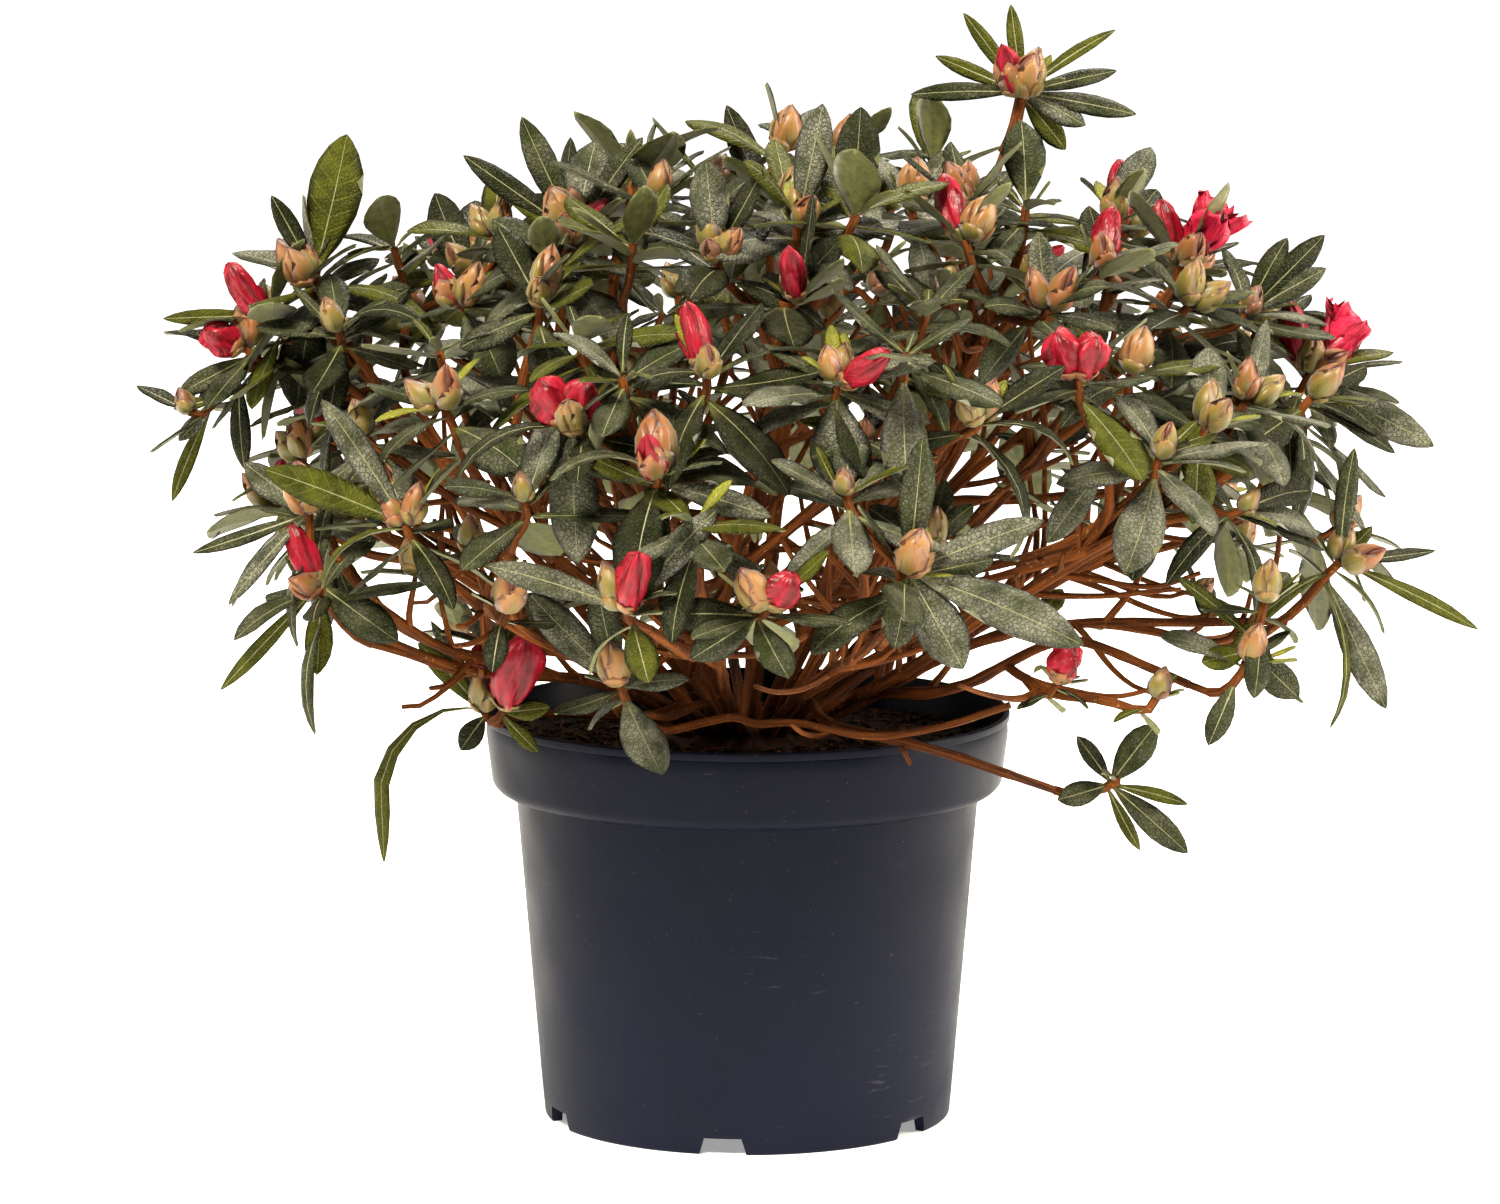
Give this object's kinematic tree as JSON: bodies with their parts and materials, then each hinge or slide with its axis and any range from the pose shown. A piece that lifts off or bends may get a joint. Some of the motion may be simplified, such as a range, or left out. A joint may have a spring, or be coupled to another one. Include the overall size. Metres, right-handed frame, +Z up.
{
  "type": "azalea shrub in a nursery pot",
  "caption": "Evergreen azalea shrub with budding shoots on slender boughs, growing from a low root crown in a round tapered nursery pot with a deep collar.",
  "frame": {"origin": "middle of the pot's flat underside", "axes": "+Z up; -Y towards the front of the plant, +X to the right as seen from the front"},
  "size_m": [0.4779, 0.4303, 0.4101],
  "materials": {
    "pot": "satin moulded",
    "soil": "loose peat",
    "bark": "thin bark",
    "foliage": "hairy leaves"
  },
  "bodies": {
    "root": {"bough_back_left": "bark", "bough_back_left_high": "bark", "bough_back_middle_left": "bark", "bough_back_middle_right": "bark", "bough_back_right": "bark", "bough_back_right_high": "bark", "bough_crown_back": "bark", "bough_crown_front": "bark", "bough_crown_left": "bark", "bough_crown_right": "bark", "bough_front_high": "bark", "bough_front_left_high": "bark", "bough_front_middle": "bark", "bough_front_right": "bark", "bough_front_right_high": "bark", "bough_left_front": "bark", "bough_left_front_high": "bark", "bough_left_high": "bark", "bough_left_low": "bark", "bough_right_high": "bark", "bough_right_low": "bark", "bough_right_tip": "bark", "bough_shoulder_right": "bark", "foliage_back_left": "foliage", "foliage_back_left_high": "foliage", "foliage_back_low": "foliage", "foliage_back_middle_left": "foliage", "foliage_back_middle_right": "foliage", "foliage_back_right": "foliage", "foliage_back_right_high": "foliage", "foliage_crown_back": "foliage", "foliage_crown_front": "foliage", "foliage_crown_left": "foliage", "foliage_crown_right": "foliage", "foliage_front_high": "foliage", "foliage_front_left_high": "foliage", "foliage_front_middle": "foliage", "foliage_front_right": "foliage", "foliage_front_right_high": "foliage", "foliage_leader": "foliage", "foliage_left_front": "foliage", "foliage_left_front_high": "foliage", "foliage_left_high": "foliage", "foliage_left_low": "foliage", "foliage_low_front": "foliage", "foliage_low_left": "foliage", "foliage_right_high": "foliage", "foliage_right_low": "foliage", "foliage_right_tip": "foliage", "foliage_runner": "foliage", "foliage_shoulder_right": "foliage", "pot": "pot", "root_crown": "bark", "soil": "soil"}
  },
  "joints": []
}
